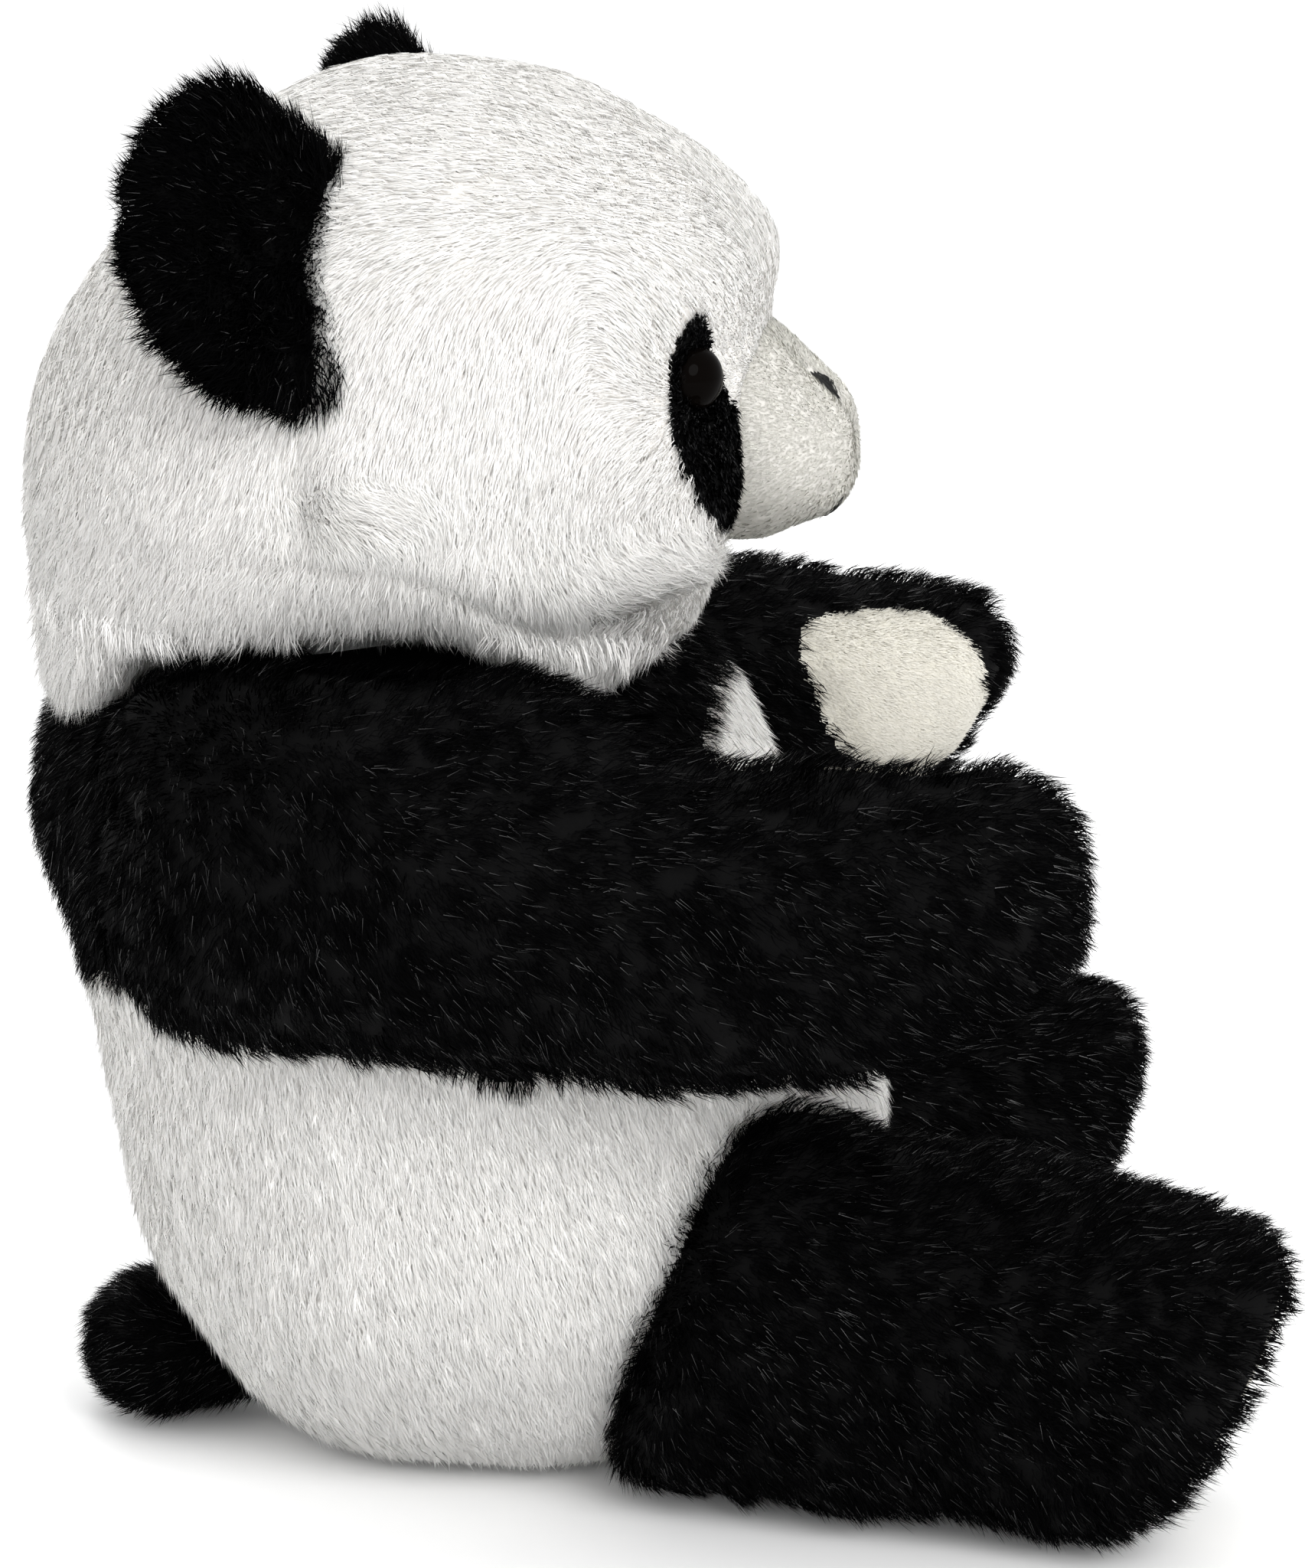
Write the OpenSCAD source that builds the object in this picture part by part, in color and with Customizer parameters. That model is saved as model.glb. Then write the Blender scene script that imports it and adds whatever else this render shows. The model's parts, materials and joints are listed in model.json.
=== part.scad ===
// Seated plush panda bear, stuffed fabric toy.
// Millimetres, +Z up, faces -Y, its right side at -X, rests on z = 0.

/* [Head] */
// Turn of the head towards its right shoulder, degrees
head_turn = 8; // [0:1:10]
// Diameter of the safety eyes
eye_d = 14; // [12:1:16]
// Sideways distance of each eye from the middle of the face
eye_x = 44; // [40:1:46]
// Width of the embroidered nose
nose_w = 26; // [20:1:30]

/* [Covers] */
// Thickness of the long pile covers, backing and matted pile
cover_t = 3; // [2:0.5:4]
// Thickness of the short pile patches and of the muzzle cover
short_t = 1.5; // [1:0.5:2]

/* [Limbs] */
// Height of the shoulder pivots
shoulder_z = 146; // [144:1:148]
// Height of the hip pivots
hip_z = 42; // [40:1:44]
// How far the left leg splays outwards beyond the right one, degrees
leg_splay_left = 7; // [0:1:8]
// Size of the paw and sole pads, as a factor
pad_scale = 1.0; // [0.8:0.05:1.1]

/* [Seat] */
// Diameter of the round seat panel
seat_d = 84; // [76:2:88]
// Diameter of the bag of pellets above the seat
pellet_d = 76; // [60:2:80]

/* [Hidden] */
sides = 20;
fit_gap = 0.3;
move_gap = 1.6;
groove = 5;
head_groove = 8;
neck_y = 62;
neck_z = 181;
neck_tilt = -10;
neck_drop = 20;
neck_r = 44;
shoulder_r = 18;
arm_pivot = [84, 62, shoulder_z];
leg_pivot = [53, -6, hip_z];
tail_pivot = [0, 99, 17];
ear_pivot = [63, 64, 281];
ear_yaw = 138;
ear_lean = -20;
face_y = -5;
yoke_z = 104;
seat_y = 38;
pellet_z = 24;
bib_at = [0, -60, 0];
bib_r = 44;
bib_stretch = 1.6;
bag_gap = 1.2;
bag_flat = 0.42;
bag_mouth = 0.75;
nose_at = [0, -38, 245];
nose_tilt = 45;
nose_h = 16;
line_w = 1.6;
mouth_z = 226;
mouth_r = 10;
mouth_arc = 150;
patch_at = [39, 0, 242];
patch_r = [14, 60, 24];
patch_turn = [0, -14, 26];
paw_at = [98, -58, shoulder_z + 8];
paw_r = [20, 25, 40];
sole_at = [82, -100, hip_z - 3];
sole_r = [24, 60, 26];
sole_tilt = -27;
ear_t = 2;
ear_swing = 20;
far = 400;
eye_y = -15;
eye_z = 252;
eye_yaw = 38;
stem_r = 2.4;
washer_r = 8;
washer_t = 2;
washer_in = 12;
dome_in = 1.6;
dome_h = 5;
stem_l = 16;
arm_swing = [-8, 16];
arm_spread = [-6, 35];
leg_swing = [-15, 12];
tail_swing = [-8, 12];

white = [0.93, 0.91, 0.87];
cream = [0.88, 0.85, 0.75];
black = [0.04, 0.04, 0.045];
fill_c = [0.96, 0.96, 0.95];

// Each row of a body outline is a ring:
// [height, centre x, centre y, half width, half depth, lean]
torso_rings = [
    [-6, 0, 40, 26, 32, 0],
    [2, 0, 38, 47, 51, 0],
    [20, 0, 34, 67, 68, 0],
    [48, 0, 35, 79, 81, 0],
    [78, 0, 37, 81, 87, 0],
    [112, 0, 43, 77, 85, 0],
    [145, 0, 53, 73, 80, 0],
    [175, 0, 60, 68, 74, 0],
    [205, 0, 64, 64, 70, 0],
    [235, 0, 66, 60, 66, 0]
];

head_rings = [
    [140, 0, 66, 66, 66, 0],
    [172, 0, 66, 73, 70, 0],
    [206, 0, 61, 82, 76, 0],
    [233, 0, 57, 84, 80, 0],
    [261, 0, 52, 79, 76, 0],
    [284, 0, 48, 67, 65, 0],
    [299, 0, 47, 50, 48, 0],
    [309, 0, 48, 30, 28, 0],
    [314, 0, 49, 9, 9, 0],
    [314.5, 0, 49, 2, 2, 0]
];

// Muzzle rings run forwards, so height is the distance in front of x-z plane
muzzle_rings = [
    [-8, 0, 236, 31, 25, 0],
    [14, 0, 236, 31, 25, 0],
    [29, 0, 234, 27, 22, 0],
    [39, 0, 231, 21, 16, 0],
    [43.5, 0, 230, 13, 10, 0],
    [44.8, 0, 230, 3, 3, 0]
];

arm_rings = [
    [-95, 84, shoulder_z, 3, 4, 0],
    [-91, 84, shoulder_z, 14, 17, 0],
    [-80, 85, shoulder_z, 24, 27, 0],
    [-62, 86, shoulder_z - 1, 29, 31, 0],
    [-20, 89, shoulder_z - 1, 31, 32, 0],
    [22, 93, shoulder_z - 1, 31, 33, 0],
    [50, 96, shoulder_z, 29, 31, 0],
    [72, 98, shoulder_z + 1, 24, 25, 0],
    [85, 98, shoulder_z + 2, 16, 16, 0],
    [89, 98, shoulder_z + 2, 4, 4, 0]
];

leg_rings = [
    [-28, 52, hip_z, 3, 4, 0],
    [-24, 52, hip_z, 14, 17, 0],
    [-10, 53, hip_z, 27, 32, 0],
    [12, 55, hip_z, 33, 39, 0],
    [46, 61, hip_z, 35, 40, 0],
    [84, 71, hip_z - 2, 35, 37, 0.15],
    [108, 78, hip_z - 3, 36, 36, 0.4],
    [120, 82, hip_z - 3, 31, 31, 0.5],
    [124, 83, hip_z - 3, 18, 18, 0.5],
    [125, 83, hip_z - 3, 4, 4, 0.5]
];

ear_rings = [
    [-4, 0, 0, 1.5, 22, 0],
    [-1, 0, 0, 4.5, 26, 0],
    [11, 0, 0, 6, 32, 0],
    [24, 0, 1, 6, 32, 0],
    [35, 0, 1, 5, 25, 0],
    [41, 0, 1, 3.5, 14, 0],
    [43, 0, 1, 1.5, 4, 0]
];

tail_rings = [
    [-12, 0, 0, 2, 2, 0],
    [-9, 0, 0, 9, 8, 0],
    [0, 0, 0, 14, 11, 0],
    [12, 0, 1, 20, 14, 0],
    [24, 0, 1, 18, 13, 0],
    [32, 0, 1, 10, 8, 0],
    [34, 0, 1, 2, 2, 0]
];

// Smooth curve through the rows of a ring list, s from 0 to 1
function blend(rows, s) =
    let (n = len(rows) - 1, u = s * n, i = min(floor(u), n - 1), t = u - i)
    let (a = rows[max(i - 1, 0)], b = rows[i], c = rows[i + 1], d = rows[min(i + 2, n)])
    0.5 * (2 * b + (c - a) * t + (2 * a - 5 * b + 4 * c - d) * t * t
        + (3 * b - a - 3 * c + d) * t * t * t);

// The same outline moved in by t, or out where t is negative
function inset(rows, t) =
    let (n = len(rows) - 1, mid = (rows[0][0] + rows[n][0]) / 2, half = rows[n][0] - mid)
    [for (r = rows) [
        mid + (r[0] - mid) * (half - t) / half, r[1], r[2],
        max(r[3] - t, 1), max(r[4] - t, 1), r[5]
    ]];

function power(v, e) = sign(v) * pow(abs(v), e);

function ring_point(r, a, e) =
    let (x = r[3] * power(cos(a), e), y = r[4] * power(sin(a), e))
    [r[1] + x, r[2] + y, r[0] + r[5] * y];

// Closed smooth solid through a ring list, along local z
module soft(rows, rings = 9, squareness = 2.2) {
    e = 2 / squareness;
    pts = [for (j = [0 : rings]) for (i = [0 : sides - 1])
        ring_point(blend(rows, j / rings), 360 * i / sides, e)];
    walls = [for (j = [0 : rings - 1]) for (i = [0 : sides - 1])
        let (k = (i + 1) % sides, p = j * sides, q = p + sides)
        for (f = [[p + i, q + i, q + k], [p + i, q + k, p + k]]) f];
    bottom = [for (i = [0 : sides - 1]) i];
    top = [for (i = [0 : sides - 1]) rings * sides + sides - 1 - i];
    polyhedron(points = pts, faces = concat([bottom], walls, [top]));
}

// Keeps the size and joins what is inside into one faceted solid
module one_mesh() {
    resize([0, 0, 0]) children();
}

// Local z to forwards, local y to up
module forwards() {
    rotate([90, 0, 0]) children();
}

module pivot_turn(p, angles) {
    translate(p) rotate(angles) translate(-p) children();
}

module right() {
    mirror([1, 0, 0]) children();
}

// Neck frame: origin at the centre of the neck ball, z along the neck
module neck_frame() {
    translate([0, neck_y, neck_z]) rotate([neck_tilt, 0, 0])
        translate([0, 0, -neck_drop]) children();
}

module head_pose() {
    neck_frame() rotate([0, 0, -head_turn])
        translate([0, 0, neck_drop]) rotate([-neck_tilt, 0, 0])
        translate([0, -neck_y, -neck_z]) children();
}

// Space above the neck groove on the head's side
module head_space() {
    difference() {
        neck_frame() translate([-far / 2, -far / 2, neck_drop + head_groove]) cube(far);
        neck_frame() sphere(r = neck_r + 2 * fit_gap, $fn = 32);
    }
}

module torso_space() {
    difference() {
        neck_frame() translate([-far / 2, -far / 2, neck_drop - groove - far]) cube(far);
        neck_frame() sphere(r = neck_r + 2 * fit_gap, $fn = 32);
    }
}

module arm_shape(t = 0) {
    forwards() soft(inset(arm_rings, t));
}

module leg_shape(t = 0) {
    forwards() soft(inset(leg_rings, t));
}

module tail_shape(t = 0) {
    translate(tail_pivot) rotate([-90, 0, 0]) soft(inset(tail_rings, t), 7);
}

module arm_sweep() {
    hull() {
        for (a = arm_swing) for (b = arm_spread)
            pivot_turn(arm_pivot, [-a, 0, 0]) pivot_turn(arm_pivot, [0, 0, b])
            arm_shape(-move_gap);
        arm_shape(-move_gap);
    }
}

module leg_sweep() {
    hull() {
        for (a = [leg_swing[0], 0, leg_swing[1]])
            pivot_turn(leg_pivot, [-a, 0, 0]) children();
    }
}

module leg_left() {
    pivot_turn(leg_pivot, [0, 0, leg_splay_left]) children();
}

module tail_sweep() {
    hull() {
        for (a = tail_swing) pivot_turn(tail_pivot, [a, 0, 0]) tail_shape(-move_gap);
    }
}

module limb_space() {
    arm_sweep();
    right() arm_sweep();
    leg_sweep() leg_left() leg_shape(-move_gap);
    right() leg_sweep() leg_shape(-move_gap);
    tail_sweep();
}

module torso_outer(t = 0) {
    soft(inset(torso_rings, t), 12);
}

module above(z) {
    translate([-far / 2, -far / 2, z]) cube(far);
}

module torso_shell() {
    difference() {
        intersection() {
            torso_outer();
            torso_space();
            above(0);
        }
        torso_outer(cover_t);
        limb_space();
        seat_hole(fit_gap);
    }
}

module seat_hole(gap = 0) {
    translate([0, seat_y, -1]) cylinder(d = seat_d + 2 * gap, h = cover_t + 1 + gap, $fn = 64);
}

// White bib up the chest between the shoulder bands
module white_zone() {
    translate([-far / 2, -far / 2, -far + yoke_z]) cube(far);
    translate(bib_at) scale([1, bib_stretch, 1]) cylinder(r = bib_r, h = far, $fn = 32);
}

module torso_fill() {
    color(fill_c) one_mesh() difference() {
        intersection() {
            torso_outer(cover_t + fit_gap);
            torso_space();
            above(cover_t + 2 * fit_gap);
        }
        limb_space();
        translate([0, seat_y, pellet_z]) pellet_shape(pellet_d);
        translate([0, seat_y, 0]) cylinder(d = pellet_d * bag_mouth, h = pellet_z, $fn = 32);
    }
}

// Ball of packed fibre that the head nods and turns on
module neck_stuffing() {
    color(fill_c) neck_frame() sphere(r = neck_r, $fn = 32);
}

module pellet_shape(d) {
    scale([1, 1, bag_flat]) sphere(d = d, $fn = 32);
}

module pellet_bag() {
    color([0.86, 0.84, 0.8])
        translate([0, seat_y, pellet_z]) pellet_shape(pellet_d - 2 * bag_gap);
}

module seat_panel() {
    color(white)
        translate([0, seat_y, 0]) cylinder(d = seat_d, h = cover_t, $fn = 64);
}

module lower_body_cover() {
    color(white) one_mesh() intersection() {
        torso_shell();
        white_zone();
    }
}

module shoulder_yoke() {
    color(black) one_mesh() difference() {
        torso_shell();
        white_zone();
    }
}

module head_outer(t = 0) {
    soft(inset(head_rings, t), 14, 2.3);
}

module front_of(y) {
    translate([-far / 2, y - far, 0]) cube(far);
}

module eye_place() {
    translate([eye_x, eye_y, eye_z]) rotate([0, 0, eye_yaw]) forwards() children();
}

module eye_posts() {
    for (m = [0, 1]) mirror([m, 0, 0]) eye_place()
        translate([0, 0, -30]) cylinder(r = stem_r + fit_gap, h = 40, $fn = 24);
}

module head_shell() {
    difference() {
        intersection() {
            head_outer();
            head_space();
        }
        head_outer(cover_t);
        eye_posts();
        ear_rooms();
    }
}

module head_cover() {
    color(white) head_pose() difference() {
        head_shell();
        front_of(face_y);
    }
}

module face_panel() {
    color(white) head_pose() intersection() {
        head_shell();
        front_of(face_y);
    }
}

module head_fill() {
    color(fill_c) head_pose() difference() {
        intersection() {
            head_outer(cover_t + fit_gap);
            head_space();
        }
        eye_posts();
        ear_rooms();
        for (m = [0, 1]) mirror([m, 0, 0]) eye_place()
            translate([0, 0, -washer_in - washer_t - fit_gap])
            cylinder(r = washer_r + fit_gap, h = washer_t + 2 * fit_gap, $fn = 32);
    }
}

module muzzle_outer(t = 0) {
    forwards() soft(inset(muzzle_rings, t), 8, 2.1);
}

module muzzle_cover() {
    color(cream) head_pose() difference() {
        muzzle_outer();
        muzzle_outer(short_t);
        head_outer(-fit_gap);
    }
}

module muzzle_fill() {
    color(fill_c) head_pose() difference() {
        muzzle_outer(short_t + fit_gap);
        head_outer(-fit_gap);
    }
}

module nose_embroidery() {
    color(black) head_pose() intersection() {
        difference() {
            muzzle_outer(-1);
            muzzle_outer(-0.1);
        }
        translate(nose_at) rotate([nose_tilt, 0, 0]) scale([nose_w / nose_h, 1, 1])
            cylinder(d = nose_h, h = 30, center = true, $fn = 28);
    }
}

module mouth_stitch() {
    color(black) head_pose() intersection() {
        difference() {
            muzzle_outer(-0.8);
            muzzle_outer(-0.1);
        }
        translate([0, -30, 0]) forwards() {
            translate([-line_w / 2, mouth_z - mouth_r, 0]) cube([line_w, 2 * mouth_r, 30]);
            translate([0, mouth_z, 0]) rotate([0, 0, -(180 - mouth_arc) / 2])
                rotate_extrude(angle = -mouth_arc, $fn = 32)
                translate([mouth_r - line_w, 0]) square([line_w, 30]);
        }
    }
}

module eye_patch() {
    difference() {
        intersection() {
            head_outer(-short_t);
            translate(patch_at) rotate(patch_turn) scale(patch_r)
                rotate([90, 0, 0]) cylinder(r = 1, h = 1, $fn = 32);
        }
        head_outer(-0.1);
        muzzle_outer(-fit_gap);
        eye_posts();
        eye_place() translate([0, 0, dome_in - fit_gap])
            cylinder(d = eye_d + 2 * fit_gap, h = 2 * dome_h, $fn = 32);
    }
}

module eye_patch_left() {
    color(black) head_pose() eye_patch();
}

module eye_patch_right() {
    color(black) head_pose() right() eye_patch();
}

// Domed eye with a stem that a locking washer grips inside the head
module eye() {
    dome = [for (a = [0 : 6 : 90]) [eye_d / 2 * cos(a), dome_in + dome_h * sin(a)]];
    rotate_extrude($fn = 96) polygon(concat(
        [[0, dome_in - stem_l], [stem_r, dome_in - stem_l], [stem_r, dome_in]], dome));
}

module eye_washer() {
    translate([0, 0, -washer_in - washer_t]) difference() {
        cylinder(r = washer_r, h = washer_t, $fn = 32);
        translate([0, 0, -1]) cylinder(r = stem_r + 0.05, h = washer_t + 2, $fn = 32);
    }
}

module eye_left() {
    color([0.03, 0.02, 0.015]) head_pose() eye_place() eye();
}

module eye_right() {
    color([0.03, 0.02, 0.015]) head_pose() right() eye_place() eye();
}

module eye_washer_left() {
    color([0.9, 0.9, 0.88]) head_pose() eye_place() eye_washer();
}

module eye_washer_right() {
    color([0.9, 0.9, 0.88]) head_pose() right() eye_place() eye_washer();
}

module ear_place() {
    translate(ear_pivot) rotate([0, ear_lean, 0]) rotate([0, 0, ear_yaw]) forwards() children();
}

module ear_shape(t = 0) {
    soft(inset(ear_rings, t), 7);
}

// Room in the side of the head that the ear folds in
module ear_rooms() {
    for (m = [0, 1]) mirror([m, 0, 0]) ear_place() hull() {
        for (a = [-ear_swing, 0, ear_swing]) rotate([0, a, 0]) ear_shape(-move_gap);
    }
}

module ear_cover() {
    ear_place() difference() {
        ear_shape();
        ear_shape(ear_t);
        translate([-3, -15, -6]) cube([6, 30, 8]);
    }
}

module ear_wadding() {
    ear_place() ear_shape(ear_t + fit_gap);
}

module ear_cover_left() {
    color(black) head_pose() ear_cover();
}

module ear_cover_right() {
    color(black) head_pose() right() ear_cover();
}

module ear_wadding_left() {
    color(fill_c) head_pose() ear_wadding();
}

module ear_wadding_right() {
    color(fill_c) head_pose() right() ear_wadding();
}

module paw_zone() {
    translate(paw_at) rotate([0, -90, 0]) scale(paw_r * pad_scale)
        cylinder(r = 1, h = 1, $fn = 32);
}

module arm_shell() {
    difference() {
        arm_shape();
        arm_shape(cover_t);
        translate(arm_pivot) rotate([0, -90, 0]) cylinder(r = shoulder_r + 2, h = 60, $fn = 28);
    }
}

module arm_cover() {
    difference() {
        arm_shell();
        paw_zone();
    }
}

module paw_pad() {
    intersection() {
        arm_shell();
        paw_zone();
    }
}

module arm_fill() {
    difference() {
        arm_shape(cover_t + fit_gap);
        translate(arm_pivot) sphere(r = shoulder_r + 2 * fit_gap, $fn = 28);
        translate(arm_pivot) rotate([0, -90, 0]) cylinder(r = shoulder_r - 6, h = 60, $fn = 28);
    }
}

module shoulder_stuffing_left() {
    color(fill_c) translate(arm_pivot) sphere(r = shoulder_r, $fn = 28);
}

module shoulder_stuffing_right() {
    right() shoulder_stuffing_left();
}

module arm_cover_left() {
    color(black) arm_cover();
}

module arm_cover_right() {
    color(black) right() arm_cover();
}

module paw_pad_left() {
    color(cream) paw_pad();
}

module paw_pad_right() {
    color(cream) right() paw_pad();
}

module arm_fill_left() {
    color(fill_c) arm_fill();
}

module arm_fill_right() {
    color(fill_c) right() arm_fill();
}

module sole_zone() {
    translate(sole_at) rotate([sole_tilt, 0, 0]) scale(sole_r * pad_scale)
        rotate([90, 0, 0]) cylinder(r = 1, h = 1, $fn = 32);
}

module leg_shell() {
    difference() {
        leg_shape();
        leg_shape(cover_t);
        translate([leg_pivot[0], 60, hip_z]) rotate([90, 0, 0]) cylinder(r = 20, h = 60, $fn = 28);
    }
}

module leg_cover() {
    difference() {
        leg_shell();
        sole_zone();
    }
}

module sole_pad() {
    intersection() {
        leg_shell();
        sole_zone();
    }
}

module leg_fill() {
    leg_shape(cover_t + fit_gap);
}

module leg_cover_left() {
    color(black) leg_left() leg_cover();
}

module leg_cover_right() {
    color(black) right() leg_cover();
}

module sole_pad_left() {
    color(cream) leg_left() sole_pad();
}

module sole_pad_right() {
    color(cream) right() sole_pad();
}

module leg_fill_left() {
    color(fill_c) leg_left() leg_fill();
}

module leg_fill_right() {
    color(fill_c) right() leg_fill();
}

module tail_cover() {
    color(black) difference() {
        tail_shape();
        tail_shape(cover_t);
        translate(tail_pivot) rotate([90, 0, 0]) cylinder(r = 6, h = 20, $fn = 32);
    }
}

module tail_fill() {
    color(fill_c) tail_shape(cover_t + fit_gap);
}

torso_fill();
neck_stuffing();
pellet_bag();
seat_panel();
lower_body_cover();
shoulder_yoke();
head_fill();
head_cover();
face_panel();
muzzle_fill();
muzzle_cover();
nose_embroidery();
mouth_stitch();
eye_patch_right();
eye_patch_left();
eye_right();
eye_left();
eye_washer_right();
eye_washer_left();
ear_cover_right();
ear_cover_left();
ear_wadding_right();
ear_wadding_left();
shoulder_stuffing_right();
shoulder_stuffing_left();
arm_fill_right();
arm_fill_left();
arm_cover_right();
arm_cover_left();
paw_pad_right();
paw_pad_left();
leg_fill_right();
leg_fill_left();
leg_cover_right();
leg_cover_left();
sole_pad_right();
sole_pad_left();
tail_fill();
tail_cover();
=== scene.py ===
import json
import math

import bpy
import numpy as np
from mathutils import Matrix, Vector


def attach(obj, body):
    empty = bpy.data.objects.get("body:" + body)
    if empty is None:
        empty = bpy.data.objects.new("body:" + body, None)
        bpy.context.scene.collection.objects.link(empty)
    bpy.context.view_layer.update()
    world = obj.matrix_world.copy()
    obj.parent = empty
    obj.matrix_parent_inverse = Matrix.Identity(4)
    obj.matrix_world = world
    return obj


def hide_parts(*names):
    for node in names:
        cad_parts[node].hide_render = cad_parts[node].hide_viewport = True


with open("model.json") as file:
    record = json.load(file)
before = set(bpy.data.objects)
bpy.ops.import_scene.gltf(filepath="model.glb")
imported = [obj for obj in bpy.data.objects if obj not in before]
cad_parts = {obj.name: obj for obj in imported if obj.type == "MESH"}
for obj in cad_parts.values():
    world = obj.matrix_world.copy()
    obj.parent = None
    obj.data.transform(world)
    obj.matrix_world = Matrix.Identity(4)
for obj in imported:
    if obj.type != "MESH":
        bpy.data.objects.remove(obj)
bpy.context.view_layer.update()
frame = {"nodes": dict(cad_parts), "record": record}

MM = 0.001

# ---------------------------------------------------------------- outlines
# Ring rows in the form of the CAD source's, but fitted closer to the toy's look, millimetres:
# [height, centre x, centre y, half width, half depth, lean]
HEAD = [
    [196, 0, 62, 46, 44, -0.05], [188, 0, 62, 62, 60, -0.08], [185.5, 0, 62, 71, 68, -0.10],
    [189, 0, 62, 77, 71, -0.10], [203, 0, 61, 82.5, 74.5, -0.05], [233, 0, 57, 84.5, 80, 0],
    [261, 0, 52, 79.5, 76.5, 0], [284, 0, 48, 67.5, 66, 0], [299, 0, 47, 51, 50, 0],
    [309, 0, 48, 32, 30, 0], [313.5, 0, 49, 13, 12, 0], [314.5, 0, 49, 2, 2, 0],
]
TORSO = [
    [1.0, 0, 38, 4, 4, 0], [0.8, 0, 38, 31, 35, 0], [3.5, 0, 38, 43, 47, 0],
    [11, 0, 36, 55, 58, 0], [24, 0, 34, 67, 69, 0], [48, 0, 35, 78.5, 81, 0],
    [78, 0, 37, 81, 87, 0], [112, 0, 43, 77, 85.5, 0], [145, 0, 54, 73, 82, 0],
    [172, 0, 60, 66, 74, -0.05], [184, 0, 63, 54, 62, -0.12], [188, 0, 63, 34, 40, -0.15],
    [189, 0, 63, 4, 4, -0.15],
]
MUZZLE = [
    [2, 0, 236, 31, 25, 0], [14, 0, 236, 31, 25, 0], [25, 0, 235.4, 29.5, 23.6, 0],
    [33, 0, 232.8, 25.5, 18, 0], [40, 0, 231.6, 19.5, 13.2, 0],
    [43.8, 0, 231.3, 12.5, 8.2, 0], [45.2, 0, 231.5, 2, 2, 0],
]
ARM_RIGHT = [
    [-124, 50, 148, 4, 6, 0], [-120, 52, 149, 18, 24, 0], [-107, 62, 151, 27, 35, 0],
    [-87, 75, 153, 31, 39, 0], [-62, 84, 152.8, 32.5, 40, 0], [-20, 89, 149.5, 33, 38.5, 0],
    [0, 91, 143.5, 32.5, 35, 0], [19, 93, 142, 32, 32, 0], [41, 96, 143.4, 30.5, 31, 0],
    [55, 97, 146, 29, 29, 0], [68, 98, 149.8, 26, 25.8, 0], [78, 98, 150.5, 21.5, 20.5, 0],
    [85, 98, 150.5, 14.5, 14, 0], [88.5, 98, 151, 3, 3, 0],
]
ARM_LEFT = [
    [-124, 50, 148, 4, 6, 0], [-120, 52, 149, 18, 24, 0], [-107, 62, 151, 27, 35, 0],
    [-87, 75, 152, 31, 39, 0], [-62, 84, 151, 32, 39, 0], [-20, 89, 152, 33, 38.5, 0],
    [19, 93, 147.5, 32, 37, 0], [43, 96, 148, 30, 32, 0], [58, 98, 152, 28, 26, 0],
    [70, 98, 155.5, 24, 20, 0], [78, 98, 158, 18, 14.5, 0], [83, 98, 159, 12, 9.5, 0],
    [85.5, 98, 160, 3, 3, 0],
]
LEG_ROOT = [
    [-5, 50, 43, 4, 6, 0.2], [-3, 51, 43, 20, 25, 0.2], [3, 53, 44, 30, 37, 0.2],
    [14, 55, 45.5, 34, 43, 0.15], [30, 58, 44.5, 35, 43, 0.08], [50, 62, 42.5, 35, 40.5, 0.05],
]
LEG_RIGHT = LEG_ROOT + [
    [82, 70, 40, 35.5, 37.5, 0.2], [102, 76, 36.5, 36, 34.5, 0.5],
    [112.5, 79, 35.5, 34.5, 33, 0.56], [119, 81, 35, 30.5, 29, 0.54],
    [123, 82, 35, 20, 20, 0.5], [124, 82, 35, 3, 3, 0.5],
]
LEG_LEFT = LEG_ROOT + [
    [82, 70, 40, 35.5, 37.5, 0.15], [99, 76, 40, 35.5, 36.5, 0.3], [108, 79, 40, 33, 34.5, 0.36],
    [113, 81, 40, 27, 28, 0.36], [115.5, 82, 40, 16, 16, 0.33], [116.2, 82, 40, 3, 3, 0.33],
]
EAR = [
    [-7, 0, 0, 1.5, 20, 0.15], [-4, 0, 0, 4.5, 26, 0.15], [10, 0, 0, 6, 32, 0.05],
    [24, 0, 1, 6, 32, 0], [35, 0, 1, 5, 25, 0], [41, 0, 1, 3.5, 14, 0], [43, 0, 1, 1, 3, 0],
]
TAIL = [
    [-16, 0, 0, 2, 2, 0], [-12, 0, 0, 10, 8, 0], [0, 0, 0, 15, 11, 0],
    [12, 0, 1, 20, 14, 0], [24, 0, 1, 18, 13, 0], [32, 0, 1, 10, 8, 0], [34, 0, 1, 2, 2, 0],
]


def curve(rows, s):
    """Smooth curve through the rows, s from 0 to 1."""
    rows = np.asarray(rows, float)
    n = len(rows) - 1
    u = np.clip(s, 0, 1) * n
    i = np.minimum(u.astype(int), n - 1)
    t = (u - i)[:, None]
    a, b, c, d = rows[np.maximum(i - 1, 0)], rows[i], rows[i + 1], rows[np.minimum(i + 2, n)]
    return 0.5 * (2 * b + (c - a) * t + (2 * a - 5 * b + 4 * c - d) * t ** 2
                  + (3 * b - a - 3 * c + d) * t ** 3)


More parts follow.
